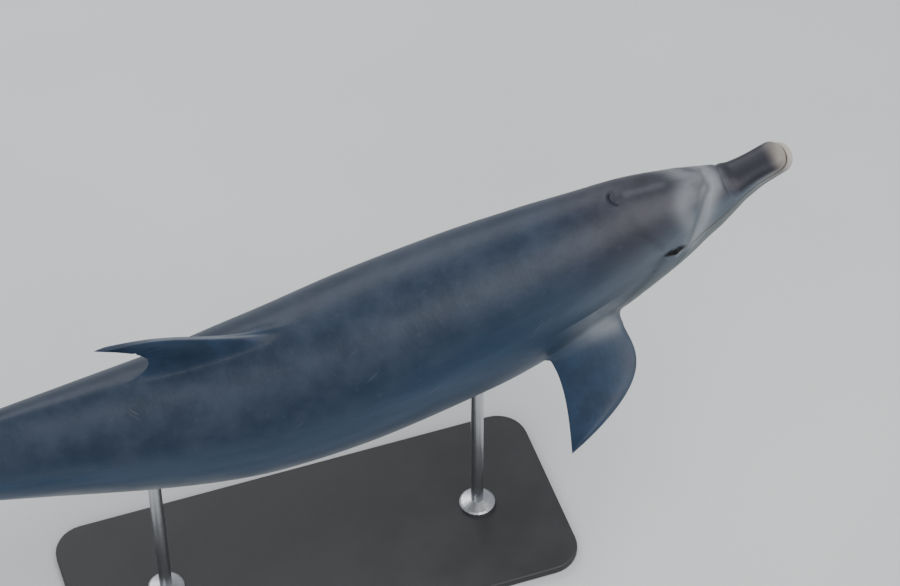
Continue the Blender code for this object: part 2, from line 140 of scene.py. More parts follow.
# ---- the skin's own dimensions
# Rows of the skin's grid: from a share, to a share, and the step in metres
ROWS = (
    (SNOUT + TIP_LENGTH, 0.105, 0.0015),
    (0.105, 0.147, 0.0010),
    (0.147, 0.205, 0.0020),
    (0.205, BODY_END, 0.0055),
)
TIP_ROWS = 30  # round the dome of the beak's end
FIRST_ROW = 0.004  # angle of the first of them from the dome's pole, in radians
# Columns of the left half, from the belly's middle (-90) to the back's (90): to this many degrees, in this many steps
COLUMNS = ((-60, 14), (-16, 26), (-3, 26), (3, 40), (24, 46), (68, 24), (90, 24))

# Folds pressed into the skin. Each is a path of (share, degrees), then its depth and width in metres.
FOLDS = (
    # crease where the beak meets the melon
    (((0.0598, 90), (0.0606, 72), (0.0613, 55), (0.0610, 40), (0.0594, 26), (0.0571, 15), (0.0546, 7)),
     0.0019, 0.0046),
    # melon's edge, running down the cheek to the eye
    (((0.0735, 90), (0.0737, 83), (0.0750, 65.5), (0.0835, 46.8), (0.0965, 25), (0.1075, 10.8), (0.1135, 3)),
     0.0011, 0.0048),
    (((0.0715, 72), (0.0755, 58), (0.0810, 38.5), (0.0910, 19), (0.1015, 7.8)), 0.0006, 0.0034),
    # folds that leave the mouth's corner for the throat
    (((0.1080, 1), (0.1120, -2), (0.1180, -7), (0.1260, -13), (0.1360, -19)), 0.0012, 0.0026),
    (((0.1105, 4), (0.1150, 0.5), (0.1210, -2.5), (0.1280, -4.0)), 0.0008, 0.0018),
    # behind the eye
    (((0.1325, 10.6), (0.1370, 12.0), (0.1420, 11.5)), 0.0006, 0.0012),
    (((0.1320, 8.6), (0.1365, 7.2), (0.1405, 4.6)), 0.0006, 0.0012),
    # throat
    (((0.1630, -30), (0.1690, -55), (0.1710, -90)), 0.0008, 0.0070),
    (((0.1870, -34), (0.1930, -60), (0.1950, -90)), 0.0007, 0.0070),
)
FOLDS_END = 0.24  # share behind which no fold, blowhole or ear is looked for
FOLD_RIDGE = 0.30  # height of the ridges beside a fold, as a share of its depth
RIDGE_AT = 2.2  # and their distance and width, as shares of its width
RIDGE_WIDTH = 1.4

# Mouth line: depth, width, and the shares between which it fades out; then the lips on both sides of it
MOUTH_DEPTH = 0.0034
MOUTH_WIDTH = 0.0015
MOUTH_FADE = (0.1130, 0.1075)
LIP_RISE = 0.0009
LIP_AT = 0.0042
LIP_WIDTH = 0.0026
CORNER_RISE = 0.0010  # the swelling behind the mouth's corner
CORNER_AT = 0.1115

# Eye opening: half its length, and its height over and under the ball's middle
LID_LENGTH = 0.0145
LID_UP = 0.0046
LID_DOWN = 0.0040
LID_THICK = 0.0010
LID_SOFTNESS = 0.0011  # how far a lid blends into the cheek
LID_RIM = (0.0010, 0.0012, 0.0006)  # the rim's distance from the opening, width and height
LID_CREASE = (0.0052, 0.0013, 0.0009)  # the same for the crease round it, and its depth
SOCKET = (0.0016, 0.024)  # height and reach of the swelling round the eye
EYE_NEAR = 0.03  # how far over or under the skin the eye still shapes it
EYE_TILT = math.radians(-15.0)
# Blowhole: its slit's depth and width, its lip's distance, width and height, its mound's height and reach
BLOWHOLE_SLIT = (0.0055, 0.0019)
BLOWHOLE_LIP = (0.0055, 0.0040, 0.0010)
BLOWHOLE_MOUND = (0.0016, 0.013)
EAR_AT = (0.1495, 2.0)
EAR = (0.0022, 0.0016)  # depth and width

# Belly: the shares from and to which each slit runs and over which it fades, its depth, and the navel's share
GENITAL_SLIT = (0.606, 0.662, 0.008, 0.0045)
VENT = (0.676, 0.692, 0.004, 0.0035)
NAVEL_AT = 0.47

# ---- curves
def smooth(stations, column, at):
    """A monotone cubic through one column of a table of stations, read at one value or many."""
    table = np.array(stations, float)
    x, y = table[:, 0], table[:, column]
    step = np.diff(x)
    slope = np.diff(y) / step
    tangent = np.zeros(len(x))
    same = slope[:-1] * slope[1:] > 0
    inner = np.zeros(len(slope) - 1)
    inner[same] = 2 * slope[:-1][same] * slope[1:][same] / (slope[:-1] + slope[1:])[same]
    tangent[1:-1] = inner
    tangent[0], tangent[-1] = slope[0], slope[-1]
    at = np.clip(at, x[0], x[-1])
    i = np.clip(np.searchsorted(x, at, side="right") - 1, 0, len(x) - 2)
    u = (at - x[i]) / step[i]
    rise = (3 - 2 * u) * u * u
    start = u * (1 - u) ** 2 * step[i] * tangent[i]
    end = -u * u * (1 - u) * step[i] * tangent[i + 1]
    return y[i] * (1 - rise) + y[i + 1] * rise + start + end


def ease(value, start, end):
    """0 before start, 1 after end, smooth between; start may be the larger."""
    u = np.clip((value - start) / (end - start), 0.0, 1.0)
    return u * u * (3 - 2 * u)


def pitch(share):
    """Nose-up angle of the spine."""
    lift = HEAD_LIFT * ease(share, *NECK_BEND)
    return BODY_PITCH + lift - TAIL_LEVEL * ease(share, *TAIL_BEND)


def spine_table():
    """Shares of LENGTH, and the spine's x and z at each."""
    shares = np.linspace(0.0, 1.0, SPINE_STEPS + 1)
    middle = pitch((shares[:-1] + shares[1:]) / 2)
    step = LENGTH / SPINE_STEPS
    x = -np.concatenate([[0.0], np.cumsum(np.cos(middle) * step)])
    z = -np.concatenate([[0.0], np.cumsum(np.sin(middle) * step)])
    x += MIDDLE - (x[0] + x[-1]) / 2
    z += FLOOR_TO_SPINE - np.interp(CHEST_END, shares, z)
    return shares, x, z


SPINE = spine_table()


def placed(share, side, up):
    """The point at side and up (metres) in the section at a share of LENGTH."""
    a = pitch(share)
    x = np.interp(share, SPINE[0], SPINE[1]) - np.sin(a) * up
    z = np.interp(share, SPINE[0], SPINE[2]) + np.cos(a) * up
    return np.stack(np.broadcast_arrays(x, side, z), axis=-1)


# ---- the body's surface
def oval(cos, sin, up, down, wide, round_up, round_down):
    """Radius of a section that is one superellipse over its widest level and another under it."""
    height = np.where(sin >= 0, up, down)
    power = np.where(sin >= 0, round_up, round_down)
    return (np.abs(cos / wide) ** power + np.abs(sin / height) ** power) ** (-1 / power)


def section(share, turn):
    """Side and up (metres) of the skin at a turn: 0 is the left mouth line, and pi/2 the top."""
    level = smooth(MOUTH_LEVEL, 1, share)
    top, bottom, wide, round_up, round_down = [smooth(CORE, column, share) for column in range(1, 6)]
    beak_up, beak_down, beak_wide = [smooth(BEAK, column, share) for column in range(1, 4)]
    started = share > CORE[0][0]
    up, down = top - level, level - bottom
    over = np.sin(turn) >= 0
    rise = np.where(over, np.maximum(up * started, beak_up), np.maximum(down * started, beak_down))
    reach = np.maximum(wide * started, beak_wide)
    angle = np.arctan2(rise * np.sin(turn), reach * np.cos(turn))
    cos, sin = np.cos(angle), np.sin(angle)
    from_tip = np.clip((share - SNOUT) / TIP_LENGTH, 0.0, 1.0)
    dome = (1 - (1 - from_tip) ** TIP_ROUND) ** (1 / TIP_ROUND)
    beak = oval(cos, sin, beak_up, beak_down, beak_wide, BEAK_ROUND, BEAK_ROUND) * dome
    core = oval(cos, sin, up, down, wide, round_up, round_down) * started
    soft = CREASE_SOFTNESS * ease(share, CORE[0][0], CORE[1][0])
    radius = (beak + core + np.sqrt((beak - core) ** 2 + soft**2)) / 2 * LENGTH
    return radius * cos, radius * sin + level * LENGTH


def skin(share, turn):
    """The point of the body's surface, the lower jaw's tip drawn forward past the upper's."""
    side, up = section(share, turn)
    point = placed(share, side, up)
    under = np.clip(-np.sin(turn) / LIP_TURN, 0.0, 1.0)
    point[..., 0] += LOWER_LIP * LENGTH * under * ease(share, CREASE, SNOUT)
    return point


# ---- the skin's grid
def dome_shares(angles):
    """Shares of LENGTH at these angles from the pole of the dome that ends the beak."""
    return SNOUT + TIP_LENGTH * (1 - np.cos(angles))


def grid():
    """Shares of the rows and turns of the columns."""
    shares = list(dome_shares(np.linspace(FIRST_ROW, math.pi / 2, TIP_ROWS + 1)))
    for start, end, step in ROWS:
        count = round((end - start) * LENGTH / step)
        shares += list(np.linspace(start, end, count + 1)[1:])
    half, last = [-90.0], -90.0
    for end, count in COLUMNS:
        half += list(np.linspace(last, end, count + 1)[1:])
        last = end
    left = np.radians(half)
    right = math.pi - left[-2:0:-1]
    return np.array(shares), np.concatenate([left, right])


FAR = 9.0  # metres, farther than any two points of the model


def unit(vectors):
    """The vectors at length 1."""
    return vectors / np.maximum(np.linalg.norm(vectors, axis=-1, keepdims=True), 1e-12)


def normals(points):
    """Outward normals of a grid of points: rows run towards the tail and columns round the body."""
    along = np.gradient(points, axis=0)
    wrapped = np.concatenate([points[:, -1:], points, points[:, :1]], axis=1)
    around = (wrapped[:, 2:] - wrapped[:, :-2]) / 2
    found = unit(np.cross(along, around))
    found[0] = found[1] * (1, 0, 1)  # the first row closes on the plane of symmetry
    return unit(found)


def line_on_skin(path, samples=48):
    """A path of (share, degrees) as points on the left side of the skin."""
    table = [(i / (len(path) - 1), *stop) for i, stop in enumerate(path)]
    t = np.linspace(0.0, 1.0, samples)
    return skin(smooth(table, 1, t), np.radians(smooth(table, 2, t)))


def mirrored(points):
    """The same points brought over to the left side."""
    return points * (1, 0, 1) + np.abs(points * (0, 1, 0))


def nearest(points, line):
    """Distance from each point to a line of points, and how far along the line (0 to 1) the nearest spot is."""
    best = np.full(len(points), FAR)
    place = np.zeros(len(points))
    for i in range(len(line) - 1):
        a, b = line[i], line[i + 1]
        t = np.clip((points - a) @ (b - a) / ((b - a) @ (b - a)), 0.0, 1.0)
        gap = np.linalg.norm(points - a - t[:, None] * (b - a), axis=1)
        closer = gap < best
        best[closer] = gap[closer]
        place[closer] = (i + t[closer]) / (len(line) - 1)
    return best, place


def bell(value, width):
    """1 at 0, falling to nearly 0 at about twice the width."""
    return np.exp(-((value / width) ** 2))


def eye_frame():
    """The left eye's spot on the skin, and its directions forward, up and out."""
    step = 1e-4
    spot = skin(EYE_AT, EYE_RISE)
    forward = unit(skin(EYE_AT - step, EYE_RISE) - skin(EYE_AT + step, EYE_RISE))
    around = skin(EYE_AT, EYE_RISE + step) - skin(EYE_AT, EYE_RISE - step)
    out = unit(np.cross(-forward, around))
    up = np.cross(forward, out)
    c, s = math.cos(EYE_TILT), math.sin(EYE_TILT)
    return spot, forward * c + up * s, up * c - forward * s, out


def lids(points, rise):
    """The relief round the eye: rise is what the other folds give. Returns the new relief and the lid distance."""
    spot, forward, up, out = eye_frame()
    local = mirrored(points) - spot
    x, y = local @ forward, local @ up
    depth = local @ out
    reach = np.hypot(x, y)
    high = np.where(y > 0, LID_UP, LID_DOWN)
    shape = high * (1 - np.clip(np.abs(x) / LID_LENGTH, 0, 1) ** 2)
    slope = 1 / np.sqrt(1 + (2 * high * x / LID_LENGTH**2) ** 2)
    past = np.abs(x) - LID_LENGTH
    edge = np.where(past < 0, (np.abs(y) - shape) * slope, np.hypot(past, y))
    ball = np.sqrt(np.clip(EYE_RADIUS**2 - reach**2, 0, None)) - (EYE_RADIUS - EYE_PROUD)
    ball = np.where(reach < EYE_RADIUS, ball, -0.02) - depth
    swell = rise + SOCKET[0] * bell(reach, SOCKET[1])
    draped = ball + LID_THICK + LID_RIM[2] * bell(edge - LID_RIM[0], LID_RIM[1])
    crease_ends = ease(x, -0.018, -0.008) * ease(x, 0.020, 0.010)
    swell -= LID_CREASE[2] * bell(edge - LID_CREASE[0], LID_CREASE[1]) * crease_ends
    outer = (swell + draped + np.sqrt((swell - draped) ** 2 + LID_SOFTNESS**2)) / 2
    inner = np.minimum(ball - 0.0022, -0.0015)  # the skin inside the opening stays under the ball
    blend = ease(edge, 0.0, -0.0009)
    near = (reach < 2 * EYE_NEAR) & (np.abs(depth) < EYE_NEAR)
    relief = np.where(near, outer * (1 - blend) + inner * blend, rise)
    return relief, np.where(near, edge, 1.0)


def mouth_gap(points):
    """Distance from each point to the mouth line."""
    round_tip = dome_shares(np.linspace(0, math.pi / 2, 24))
    shares = np.concatenate([round_tip, np.linspace(round_tip[-1], MOUTH_FADE[0], 40)[1:]])
    return nearest(mirrored(points), skin(shares, np.zeros(len(shares))))[0]


def blowhole_line():
    """The left half of the blowhole's slit, from its middle."""
    a = np.radians(np.linspace(0, 78, 24))
    shares = BLOWHOLE_AT + BLOWHOLE_RADIUS * np.cos(a) / LENGTH
    half = smooth(CORE, 3, shares) * LENGTH
    return skin(shares, math.pi / 2 - BLOWHOLE_RADIUS * np.sin(a) / half)


def head_relief(head):
    """Height of the folds, the blowhole and the ear at points of the head, brought over to the left side."""
    rise = np.zeros(len(head))
    for path, depth, width in FOLDS:
        gap, place = nearest(head, line_on_skin(path))
        ends = ease(place, 1.0, 0.72)
        if path[0][1] < 89:  # a fold that starts on the back's middle goes on to the other side
            ends *= ease(place, 0.0, 0.20)
        rise += ends * depth * (FOLD_RIDGE * bell(gap - RIDGE_AT * width, RIDGE_WIDTH * width) - bell(gap, width))
    # a crescent slit with a raised lip, on a low mound
    gap, place = nearest(head, blowhole_line())
    rise -= BLOWHOLE_SLIT[0] * bell(gap, BLOWHOLE_SLIT[1]) * ease(place, 1.0, 0.70)
    rise += BLOWHOLE_LIP[2] * bell(gap - BLOWHOLE_LIP[0], BLOWHOLE_LIP[1]) * ease(place, 1.0, 0.60)
    middle = skin(BLOWHOLE_AT + 0.001, math.pi / 2)
    rise += BLOWHOLE_MOUND[0] * bell(np.linalg.norm(head - middle, axis=1), BLOWHOLE_MOUND[1])
    ear = skin(EAR_AT[0], math.radians(EAR_AT[1]))
    return rise - EAR[0] * bell(np.linalg.norm(head - ear, axis=1), EAR[1])


def belly_relief(side, s, t):
    """Height of the genital slit, vent and navel, at points this far from the middle."""
    belly = np.abs(side) + 10.0 * (np.sin(t) > -0.8)  # far away for points that aren't on the belly
    rise = -0.0016 * bell(belly, 0.005) * bell(s - NAVEL_AT, 0.0035)
    for start, end, fade, depth in (GENITAL_SLIT, VENT):
        along = ease(s, start, start + fade) * ease(s, end, end - fade)
        rise += along * (0.0018 * bell(belly - 0.007, 0.0050) - depth * bell(belly, 0.0022))
    return rise


def sculpt(points, shares, turn):
    """Height to raise each grid point by: mouth, folds, eye, blowhole, ear, belly slits and soft forms."""
    rows = len(shares)
    s = np.repeat(shares, len(turn))
    t = np.tile(turn, rows)
    flat = points.reshape(-1, 3)
    rise = np.zeros(len(flat))
    mouth = s < MOUTH_FADE[0]
    gap = mouth_gap(flat[mouth])
    lips = LIP_RISE * bell(gap - LIP_AT, LIP_WIDTH) - MOUTH_DEPTH * bell(gap, MOUTH_WIDTH)
    rise[mouth] += lips * ease(s[mouth], *MOUTH_FADE)
    over = section(s, t)[1] - smooth(MOUTH_LEVEL, 1, s) * LENGTH
    rise += CORNER_RISE * bell(np.abs(over) - 0.0050, 0.0050) * bell(s - CORNER_AT, 0.0030)
    front = s < FOLDS_END
    rise[front] += head_relief(mirrored(flat[front]))
    rise += belly_relief(flat[:, 1], s, t)
    # the muscles of the tail stock: a groove along its side and a swelling over it
    flank = ease(s, 0.55, 0.72) * ease(s, 0.97, 0.88)
    rise -= 0.0030 * flank * bell(np.sin(t) - 0.10, 0.16)
    rise += 0.0022 * flank * bell(np.sin(t) - 0.55, 0.25)
    return lids(flat, rise)[0].reshape(rows, -1)


def linked(name, data):
    """A new object in the scene that holds a mesh, light or camera."""
    made = bpy.data.objects.new(name, data)
    bpy.context.scene.collection.objects.link(made)
    return made


def grid_object(name, points, slot_index, zipped=False):
    """A closed mesh from rings of points: quads between rings, one face on each end. A zipped first ring is a
    line on which the left and right columns share their points, so it has no face."""
    rows, count = points.shape[:2]
    ids = np.arange(rows * count).reshape(rows, count)
    if zipped:
        ids[0, count // 2 + 1:] = ids[0, count // 2 - 1:0:-1]
    after = np.roll(ids, -1, axis=1)
    quads = np.stack([ids[:-1], after[:-1], after[1:], ids[1:]], axis=-1).reshape(-1, 4)
    ends = [ids[-1]] if zipped else [ids[-1], ids[0][::-1]]
    corners = np.concatenate([quads.ravel(), *ends])
    sizes = [4] * len(quads) + [count] * len(ends)
    mesh = bpy.data.meshes.new(name)
    mesh.vertices.add(rows * count)
    mesh.vertices.foreach_set("co", points.astype(np.float32).ravel())
    mesh.loops.add(len(corners))
    mesh.loops.foreach_set("vertex_index", corners.astype(np.int32))
    mesh.polygons.add(len(sizes))
    mesh.polygons.foreach_set("loop_start", (np.cumsum(sizes) - sizes).astype(np.int32))
    mesh.update(calc_edges=True)
    bm = bmesh.new()
    bm.from_mesh(mesh)
    bmesh.ops.delete(bm, geom=[v for v in bm.verts if not v.link_faces], context="VERTS")
    bmesh.ops.remove_doubles(bm, verts=bm.verts, dist=1e-7)
    bmesh.ops.recalc_face_normals(bm, faces=bm.faces)
    for face in bm.faces:
        face.material_index = slot_index
    bm.to_mesh(mesh)
    bm.free()
    for slot_name in ("body_slot", "blade_slot"):
        mesh.materials.append(bpy.data.materials.get(slot_name) or bpy.data.materials.new(slot_name))
    return linked(name, mesh)


# ---- fins
BLADE_RINGS = 90
BLADE_SIDE = 44
FLARE = 0.016  # extra thickness where a blade leaves the body
FLARE_REACH = 0.016
FLARE_CHORD = 1.6  # and how much of it the chord gains
FLUKE_FLARE = 0.010
FLUKE_FLARE_REACH = 0.030
THINNING = 0.62  # share of a blade's thickness that is gone at its tip
TIP_PART = 0.015  # share of a blade's span that its rounded tip takes
LEAST_CHORD = 0.004


def blade_ring(spot, fore, normal, front, rear, u, span, thickness, root, wider=0.0):
    """One ring of a blade, at a share u of its span: the four-digit wing section between front and rear."""
    k = np.arange(-BLADE_SIDE, BLADE_SIDE + 1)
    x = (1 - np.cos(math.pi * np.abs(k) / BLADE_SIDE)) / 2
    wing = 2.969 * np.sqrt(x) - 1.26 * x - 3.516 * x**2 + 2.843 * x**3 - 1.036 * x**4
    tip = math.sqrt(max(0.0, 1 - max(0.0, (u - 1 + TIP_PART) / TIP_PART) ** 2))
    chord = max(front - rear, LEAST_CHORD) * (0.15 + 0.85 * tip) + wider
    narrow = min(1.0, chord / span / 0.2 + 0.15) * (0.1 + 0.9 * tip)
    thick = thickness * (1 - THINNING * max(u, 0.0)) * narrow + root
    half = thick / 2 * wing + TRAILING_EDGE / 2 * np.sqrt(x) * (0.3 + 0.7 * tip)
    middle = (front + rear) / 2
    return spot + fore * (middle + chord / 2 - chord * x)[:, None] + normal * (np.sign(k) * half)[:, None]


def blade(name, origin, out, fore, span, edges, thickness):
    """The solids' wing loft at a finer pitch, thicker at its root."""
    start = -ROOT_DEPTH / span
    rings = []
    for i in range(BLADE_RINGS + 1):
        u = start + (1 - start) * (1 - (1 - i / BLADE_RINGS) ** 1.9)
        root = FLARE * math.exp(-max(u, 0.0) * span / FLARE_REACH)
        rings.append(blade_ring(origin + out * (u * span), fore, np.cross(out, fore), *edges(u), u, span, thickness,
                                root, FLARE_CHORD * root))
    return grid_object(name, np.array(rings), 1)


def nick(u, at, depth, width):
    """Depth of a small worn notch in a blade's rear edge."""
    return depth * math.exp(-(((u - at) / width) ** 2))


def dorsal_edges(u):
    """Places of the fin's front and rear edge along fore, at a share u of its height."""
    u = max(u, 0.0)
    front = FIN_BASE / 2 - FIN_SWEEP * (0.64 * math.sqrt(u) + 0.04 * u + 0.12 * u**2 + 0.20 * u**8)
    rear = -FIN_BASE / 2 - (FIN_SWEEP - FIN_BASE) * u + FIN_HOLLOW * math.sin(math.pi * u**0.8)
    return front, rear + nick(u, 0.62, 0.005, 0.018) + nick(u, 0.41, 0.003, 0.012)


def dorsal_frame():
    """The fin's origin, and its directions outward and forward."""
    middle = FIN_FRONT + FIN_BASE / 2 / LENGTH
    front, rear = (skin(FIN_FRONT + i * FIN_BASE / LENGTH, math.pi / 2) for i in (0, 1))
    fore = unit(front - rear)
    out = np.array((-fore[2], 0.0, fore[0]))
    return ((front + rear) / 2 + skin(middle, math.pi / 2)) / 2, out, fore


def dorsal_fin():
    return blade("dorsal_fin_skin", *dorsal_frame(), FIN_HEIGHT, dorsal_edges, FIN_THICKNESS)


def flipper_edges(u):
    u = max(u, 0.0)
    front = FLIPPER_CHORD / 2 + 0.06 * u * (1 - u) - FLIPPER_SWEEP * u**3.2
    hollow = FLIPPER_HOLLOW * math.sin(math.pi * u**0.8)
    return front, -FLIPPER_CHORD / 2 - (FLIPPER_SWEEP - FLIPPER_CHORD) * u + hollow


def flipper_frame(side):
    """The same for a flipper: side is +1 for the left and -1 for the right."""
    turn = FLIPPER_TURN if side > 0 else math.pi - FLIPPER_TURN
    a = float(pitch(FLIPPER_AT))
    fore = np.array((math.cos(a), 0.0, math.sin(a)))
    up = np.array((-math.sin(a), 0.0, math.cos(a)))
    out = np.array((0.0, side, 0.0)) * math.cos(FLIPPER_DROOP) - up * math.sin(FLIPPER_DROOP)
    return skin(FLIPPER_AT, turn), out, fore


def flipper(name, side):
    return blade(name, *flipper_frame(side), FLIPPER_SPAN, flipper_edges, FLIPPER_THICKNESS)


def fluke_edges(u):
    front = -FLUKE_CHORD * (0.30 * math.sqrt(max(u, 0)) + 0.34 * u + 0.50 * u**3)
    lobe = FLUKE_LOBE * (math.sin(math.pi * min(u, 0.56) / 0.56) * 0.6 + 0.5 * ease(u, 0.62, 1.0))
    notch = FLUKE_NOTCH * max(0.0, 1 - u / 0.10) ** 2
    return front, -FLUKE_CHORD - lobe + notch


def flukes():
    """Both flukes as one loft from tip to tip, so the middle has no seam."""
    front = placed(FLUKE_FRONT, 0.0, 0.0)
    fore = unit(front - placed(1.0, 0.0, 0.0))
    up = np.array((-fore[2], 0.0, fore[0]))
    rings = []
    for i in range(-BLADE_RINGS, BLADE_RINGS + 1):
        u = 1 - (1 - abs(i) / BLADE_RINGS) ** 1.6
        root = FLUKE_FLARE * math.exp(-u * FLUKE_SPAN / FLUKE_FLARE_REACH)
        spot = front + np.array((0.0, math.copysign(u, i) * FLUKE_SPAN, 0.0)) + up * FLUKE_CURL * u**2
        rings.append(blade_ring(spot, fore, up, *fluke_edges(u), u, FLUKE_SPAN, FLUKE_THICKNESS, root))
    return grid_object("fluke_skin", np.array(rings), 1)


# ---- one skin
def joined(body, blades):
    """The body and its fins as one closed mesh."""
    for fin in blades:
        union = body.modifiers.new("join", "BOOLEAN")
        union.operation = "UNION"
        union.solver = "MANIFOLD"
        union.object = fin
    graph = bpy.context.evaluated_depsgraph_get()
    mesh = bpy.data.meshes.new_from_object(body.evaluated_get(graph))
    for piece in (body, *blades):
        bpy.data.objects.remove(piece)
    return linked("dolphin_skin", mesh)


def read_all(items, name, kind=np.int32, each=1):
    """One property of all of a mesh's points, edges, faces or corners, as an array."""
    values = np.empty(len(items) * each, kind)
    items.foreach_get(name, values)
    return values


def coordinates(mesh):
    """The mesh's points as an array."""
    return read_all(mesh.vertices, "co", np.float32, 3).reshape(-1, 3).astype(float)


def blade_share(mesh):
    """1 at points on a fin, 0 on the body, a half on the line where they meet."""
    corner = read_all(mesh.loops, "vertex_index")
    on_blade = np.repeat(read_all(mesh.polygons, "material_index"), read_all(mesh.polygons, "loop_total"))
    size = len(mesh.vertices)
    return np.bincount(corner, on_blade, size) / np.maximum(np.bincount(corner, minlength=size), 1)


def neighbour_sum(edges, values):
    """For each point, the sum of the values at the points that its edges lead to."""
    size = len(values)
    return np.bincount(edges[:, 0], values[edges[:, 1]], size) + np.bincount(edges[:, 1], values[edges[:, 0]], size)


def near_blades(points, reach):
    """True for points that could be close to a fin's root."""
    share = body_place(points)[0]
    found = share > FLUKE_FRONT - 0.02
    for middle, half in ((FIN_FRONT + FIN_BASE / 2 / LENGTH, FIN_BASE / 2), (FLIPPER_AT, FLIPPER_CHORD)):
        found |= np.abs(share - middle) < (half + reach) / LENGTH
    return found


FILLET = 0.026  # reach of the fillets round the fins' roots
FILLET_STEPS = 70
BLEND_STEPS = 12  # how often the line between body and fin colour is softened


def fillet(mesh, share):
    """Smooths the skin round the lines where fins leave the body."""
    points = coordinates(mesh)
    seam = np.flatnonzero((share > 0.01) & (share < 0.99))
    tree = KDTree(len(seam))
    for n, i in enumerate(seam):
        tree.insert(points[i], n)
    tree.balance()
    reach = FILLET * 1.3
    low, high = points[seam].min(axis=0) - reach, points[seam].max(axis=0) + reach
    gap = np.full(len(points), FAR)
    for i in np.flatnonzero(((points > low) & (points < high)).all(axis=1) & near_blades(points, reach)):
        gap[i] = tree.find(points[i])[2]
    edges = read_all(mesh.edges, "vertices", each=2).reshape(-1, 2)
    local = gap < reach
    edges = edges[local[edges].any(axis=1)]
    weight = ease(gap, FILLET, FILLET * 0.25)
    count = np.bincount(edges.ravel(), minlength=len(points))
    for _ in range(FILLET_STEPS):
        total = np.stack([neighbour_sum(edges, points[:, axis]) for axis in range(3)], axis=1)
        mean = total / np.maximum(count, 1)[:, None]
        points += (0.5 * weight)[:, None] * (mean - points)
    blended = share
    for _ in range(BLEND_STEPS):
        mean = neighbour_sum(edges, blended) / np.maximum(count, 1)
        blended = np.where(gap < FILLET, mean, blended)
    mesh.vertices.foreach_set("co", points.astype(np.float32).ravel())
    return blended


def body_place(points):
    """Share along the spine and height over it for any points near the body."""
    order = np.argsort(SPINE[1])
    share = np.interp(points[:, 0], SPINE[1][order], SPINE[0][order])
    for _ in range(8):
        a = pitch(share)
        dx = points[:, 0] - np.interp(share, SPINE[0], SPINE[1])
        dz = points[:, 2] - np.interp(share, SPINE[0], SPINE[2])
        share = np.clip(share - (dx * np.cos(a) + dz * np.sin(a)) / LENGTH, -0.01, 1.03)
    a = pitch(share)
    up = -dx * np.sin(a) + dz * np.cos(a)
    return share, up


def attribute(mesh, name, values):
    """Stores one value or vector for each point."""
    kind, field = ("FLOAT", "value") if values.ndim == 1 else ("FLOAT_VECTOR", "vector")
    mesh.attributes.new(name, kind, "POINT").data.foreach_set(field, values.astype(np.float32).ravel())


STRIPES_END = 0.27  # share behind which no stripe is looked for
WIDE_STRIPE = 0.02  # stripes at least this wide aren't faded at their ends
EYE_PATCH = (0.0320, 0.0105, 0.0078)  # reach of the dark patch along the eye, over it and under it
# Height of the dark back's lower edge, and of the pale belly's upper edge, as shares of the section's height
CAPE_EDGE = ((0.00, 0.40), (0.05, 0.48), (0.09, 0.62), (0.14, 0.50), (0.20, 0.40), (0.28, 0.46), (0.38, 0.36),
             (0.50, 0.10), (0.60, 0.16), (0.72, 0.30), (0.85, -0.10), (0.94, -0.60), (1.00, -1.00))
BELLY_EDGE = ((0.00, -0.20), (0.05, -0.10), (0.09, -0.05), (0.12, -0.18), (0.16, -0.36), (0.22, -0.48), (0.30, -0.58),
              (0.45, -0.60), (0.58, -0.52), (0.68, -0.58), (0.78, -0.90), (0.86, -1.25), (1.00, -1.60))
# Soft lines on the head: a path of (share, degrees), the amount, the width in metres, and darker or paler
STRIPES = (
    # dark bridle from the eye up the melon's edge, laid on the melon-edge fold and so partly painted shade in it, and
    # its branch to the blowhole
    (((0.1150, 2), (0.1075, 10.8), (0.0965, 25), (0.0835, 46.8), (0.0750, 65.5), (0.0737, 84)), 0.36, 0.0060, "dark"),
    (((0.1310, 14), (0.1390, 32), (0.1460, 52), (0.1490, 72)), 0.18, 0.0100, "dark"),
    # dark line from the eye's rear corner back and down towards the flipper
    (((0.1340, 9), (0.1430, 5), (0.1570, -4), (0.1820, -14), (0.2050, -24)), 0.34, 0.0120, "dark"),
    # paler band ahead of the bridle, and a thin painted highlight of sheen along the melon's top
    (((0.1080, 2), (0.0960, 14), (0.0860, 30), (0.0780, 48), (0.0710, 70), (0.0690, 90)), 0.68, 0.0210, "pale"),
    (((0.0800, 88), (0.0880, 80), (0.0960, 60), (0.1030, 44), (0.1020, 26)), 0.42, 0.0250, "pale"),
    # painted highlight: a thin pale streak of sheen along the middle of the head's top
    (((0.1470, 88), (0.1340, 89.5), (0.1170, 89.5), (0.1020, 89.5)), 0.10, 0.0080, "pale"),
    (((0.1100, 1), (0.1150, 2.5), (0.1220, 2.0), (0.1290, 0)), 0.38, 0.0060, "pale"),
)


def front_edge_highlight(points, frame_of, span, edges, width):
    """Where a painted highlight lies: 1 on the front edge of a blade, falling to 0 behind it and towards its tip."""
    origin, out, fore = frame_of
    u = np.clip((points - origin) @ out / span, 0.0, 1.0)
    steps = np.linspace(0, 1, 101)
    front = np.interp(u, steps, [edges(step)[0] for step in steps])
    return bell(front - (points - origin) @ fore, width) * ease(u, 1.0, 0.7)


